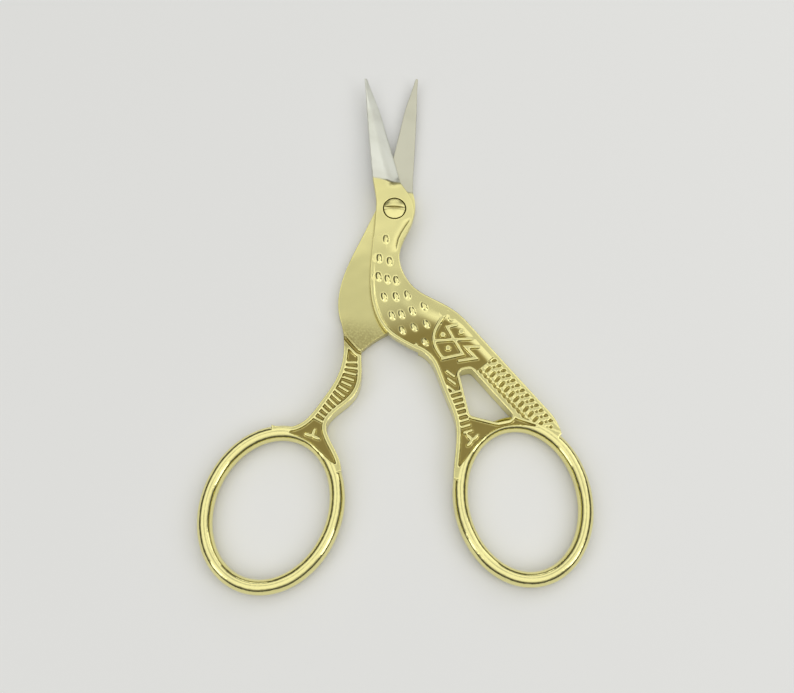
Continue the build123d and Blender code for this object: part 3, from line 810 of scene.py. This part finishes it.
class SCISSORS_OT_pivot_screw(bpy.types.Operator):
    """Finish the slotted screw that both halves turn on"""

    bl_idname = "scissors.pivot_screw"
    bl_label = "Pivot Screw"

    def execute(self, context):
        form = bmesh.new()
        form.from_mesh(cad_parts["pivot_screw"].data)
        bmesh.ops.remove_doubles(form, verts=form.verts, dist=WELD)
        mesh = cast(form, "screw casting", SCREW_GRAIN * MM, SCREW_PASSES)
        for vert in mesh.vertices:
            if vert.co.z > HEAD_BASE * MM:
                reach = math.hypot(vert.co.x, vert.co.y) / (HEAD_RADIUS * MM)
                vert.co.z -= DOME_FALL * MM * reach * reach
        material = casting_material("polished screw", 0.0, 0.0, NO_STEEL)
        piece_from(mesh, "screw", "back", "screw_steel", material, "pivot_screw")
        return {"FINISHED"}


def area_light(name, energy, size, place, target):
    """Soft box that shines from its place on a target."""
    light = bpy.data.lights.new(name, "AREA")
    light.energy = energy
    light.shape = "RECTANGLE"
    light.size, light.size_y = size
    lamp = bpy.data.objects.new(name, light)
    bpy.context.scene.collection.objects.link(lamp)
    lamp.location = place
    lamp.rotation_euler = (Vector(target) - Vector(place)).to_track_quat("-Z", "Y").to_euler()


def studio_sky(scene):
    """Sky that brightens upwards, with a dimmer patch that the flat faces mirror to the camera."""
    world = bpy.data.worlds.new("studio")
    scene.world = world
    world.use_nodes = True
    nodes, links = world.node_tree.nodes, world.node_tree.links
    sky = nodes["Background"]
    place = nodes.new("ShaderNodeTexCoord")
    split = nodes.new("ShaderNodeSeparateXYZ")
    ramp = nodes.new("ShaderNodeValToRGB")
    links.new(place.outputs["Generated"], split.inputs[0])
    links.new(split.outputs["Z"], ramp.inputs["Fac"])
    low, high = ramp.color_ramp.elements
    low.position, high.position = SKY_LOW[0], SKY_HIGH[0]
    low.color, high.color = (*SKY_LOW[1], 1), (*SKY_HIGH[1], 1)
    ramp.color_ramp.elements.new(SKY_MIDDLE[0]).color = (*SKY_MIDDLE[1], 1)
    patch = math.radians(PATCH_ELEVATION)
    toward = nodes.new("ShaderNodeVectorMath")
    toward.operation = "DOT_PRODUCT"
    links.new(place.outputs["Generated"], toward.inputs[0])
    toward.inputs[1].default_value = (0, math.cos(patch), math.sin(patch))
    shade = nodes.new("ShaderNodeMapRange")
    links.new(toward.outputs["Value"], shade.inputs["Value"])
    shade.inputs["From Min"].default_value = math.cos(math.radians(PATCH_EDGE[0]))
    shade.inputs["From Max"].default_value = math.cos(math.radians(PATCH_EDGE[1]))
    shade.inputs["To Min"].default_value = 1.0
    shade.inputs["To Max"].default_value = PATCH_SHADE
    dimmed = nodes.new("ShaderNodeVectorMath")
    dimmed.operation = "SCALE"
    links.new(ramp.outputs["Color"], dimmed.inputs[0])
    links.new(shade.outputs["Result"], dimmed.inputs["Scale"])
    links.new(dimmed.outputs[0], sky.inputs["Color"])
    sky.inputs["Strength"].default_value = SKY_STRENGTH


def photo_camera(scene):
    """Camera at the photograph's angle."""
    data = bpy.data.cameras.new("camera")
    data.sensor_width = 36.0
    data.lens = scene.scissors_stage.lens
    data.clip_start = 0.005
    data.clip_end = 5.0
    camera = bpy.data.objects.new("camera", data)
    scene.collection.objects.link(camera)
    elevation, turn = math.radians(CAMERA_ELEVATION), math.radians(CAMERA_TURN)
    ahead = Vector((0, math.cos(elevation), -math.sin(elevation)))
    over = Vector((0, math.sin(elevation), math.cos(elevation)))
    side = Vector((1, 0, 0))
    right = (PHOTO_SCREW[0] - PHOTO_MIDDLE[0]) / PHOTO_FOCAL
    up = (PHOTO_MIDDLE[1] - PHOTO_SCREW[1]) / PHOTO_FOCAL
    ray = ahead + side * right + over * up
    spot = Vector((0, 0, SCREW_TOP * MM)) - ray * CAMERA_DISTANCE * MM
    around = Matrix.Rotation(turn, 4, "Z")
    pose = Matrix((
        (side.x, over.x, -ahead.x, 0),
        (side.y, over.y, -ahead.y, 0),
        (side.z, over.z, -ahead.z, 0),
        (0, 0, 0, 1),
    ))
    camera.matrix_world = around @ Matrix.Translation(spot) @ pose
    scene.camera = camera


class SCISSORS_OT_stage(bpy.types.Operator):
    """Set the floor, the soft lights and the camera at the photograph's angle"""

    bl_idname = "scissors.stage"
    bl_label = "Stage"

    def execute(self, context):
        scene = context.scene
        form = bmesh.new()
        bmesh.ops.create_grid(form, x_segments=1, y_segments=1, size=FLOOR_SIZE)
        mesh = bpy.data.meshes.new("floor")
        form.to_mesh(mesh)
        form.free()
        material, _, shader = new_material("pale floor")
        shader.inputs["Base Color"].default_value = (*scene.scissors_stage.floor, 1)
        shader.inputs["Roughness"].default_value = 0.6
        shader.inputs["Specular IOR Level"].default_value = 0.2
        mesh.materials.append(material)
        floor = bpy.data.objects.new("floor", mesh)
        scene.collection.objects.link(floor)
        studio_sky(scene)
        for box in SOFT_BOXES:
            area_light(*box)
        photo_camera(scene)
        scene.view_settings.view_transform = "Standard"
        return {"FINISHED"}


class SCISSORS_PT_panel(bpy.types.Panel):
    """Lists the pieces of the scissors"""

    bl_label = "Stork Scissors"
    bl_idname = "SCISSORS_PT_panel"
    bl_space_type = "VIEW_3D"
    bl_region_type = "UI"
    bl_category = "Scissors"

    def draw(self, context):
        column = self.layout.column()
        for operator in PIECES:
            column.operator(operator.bl_idname)
        for settings in ("scissors_casting", "scissors_finish", "scissors_stage"):
            group = getattr(context.scene, settings)
            for name in group.bl_rna.properties.keys():
                if name not in ("rna_type", "name"):
                    column.prop(group, name)


PIECES = (
    SCISSORS_OT_front_half,
    SCISSORS_OT_back_half,
    SCISSORS_OT_pivot_screw,
    SCISSORS_OT_stage,
)
SETTINGS = (CastingSettings, FinishSettings, StageSettings)


def register():
    for settings in SETTINGS:
        bpy.utils.register_class(settings)
    bpy.types.Scene.scissors_casting = bpy.props.PointerProperty(type=CastingSettings)
    bpy.types.Scene.scissors_finish = bpy.props.PointerProperty(type=FinishSettings)
    bpy.types.Scene.scissors_stage = bpy.props.PointerProperty(type=StageSettings)
    for operator in PIECES:
        bpy.utils.register_class(operator)
    bpy.utils.register_class(SCISSORS_PT_panel)


def unregister():
    bpy.utils.unregister_class(SCISSORS_PT_panel)
    for operator in reversed(PIECES):
        bpy.utils.unregister_class(operator)
    del bpy.types.Scene.scissors_stage
    del bpy.types.Scene.scissors_finish
    del bpy.types.Scene.scissors_casting
    for settings in reversed(SETTINGS):
        bpy.utils.unregister_class(settings)


def main():
    register()
    bpy.ops.scissors.front_half()
    bpy.ops.scissors.back_half()
    bpy.ops.scissors.pivot_screw()
    bpy.ops.scissors.stage()


if __name__ == "__main__":
    main()
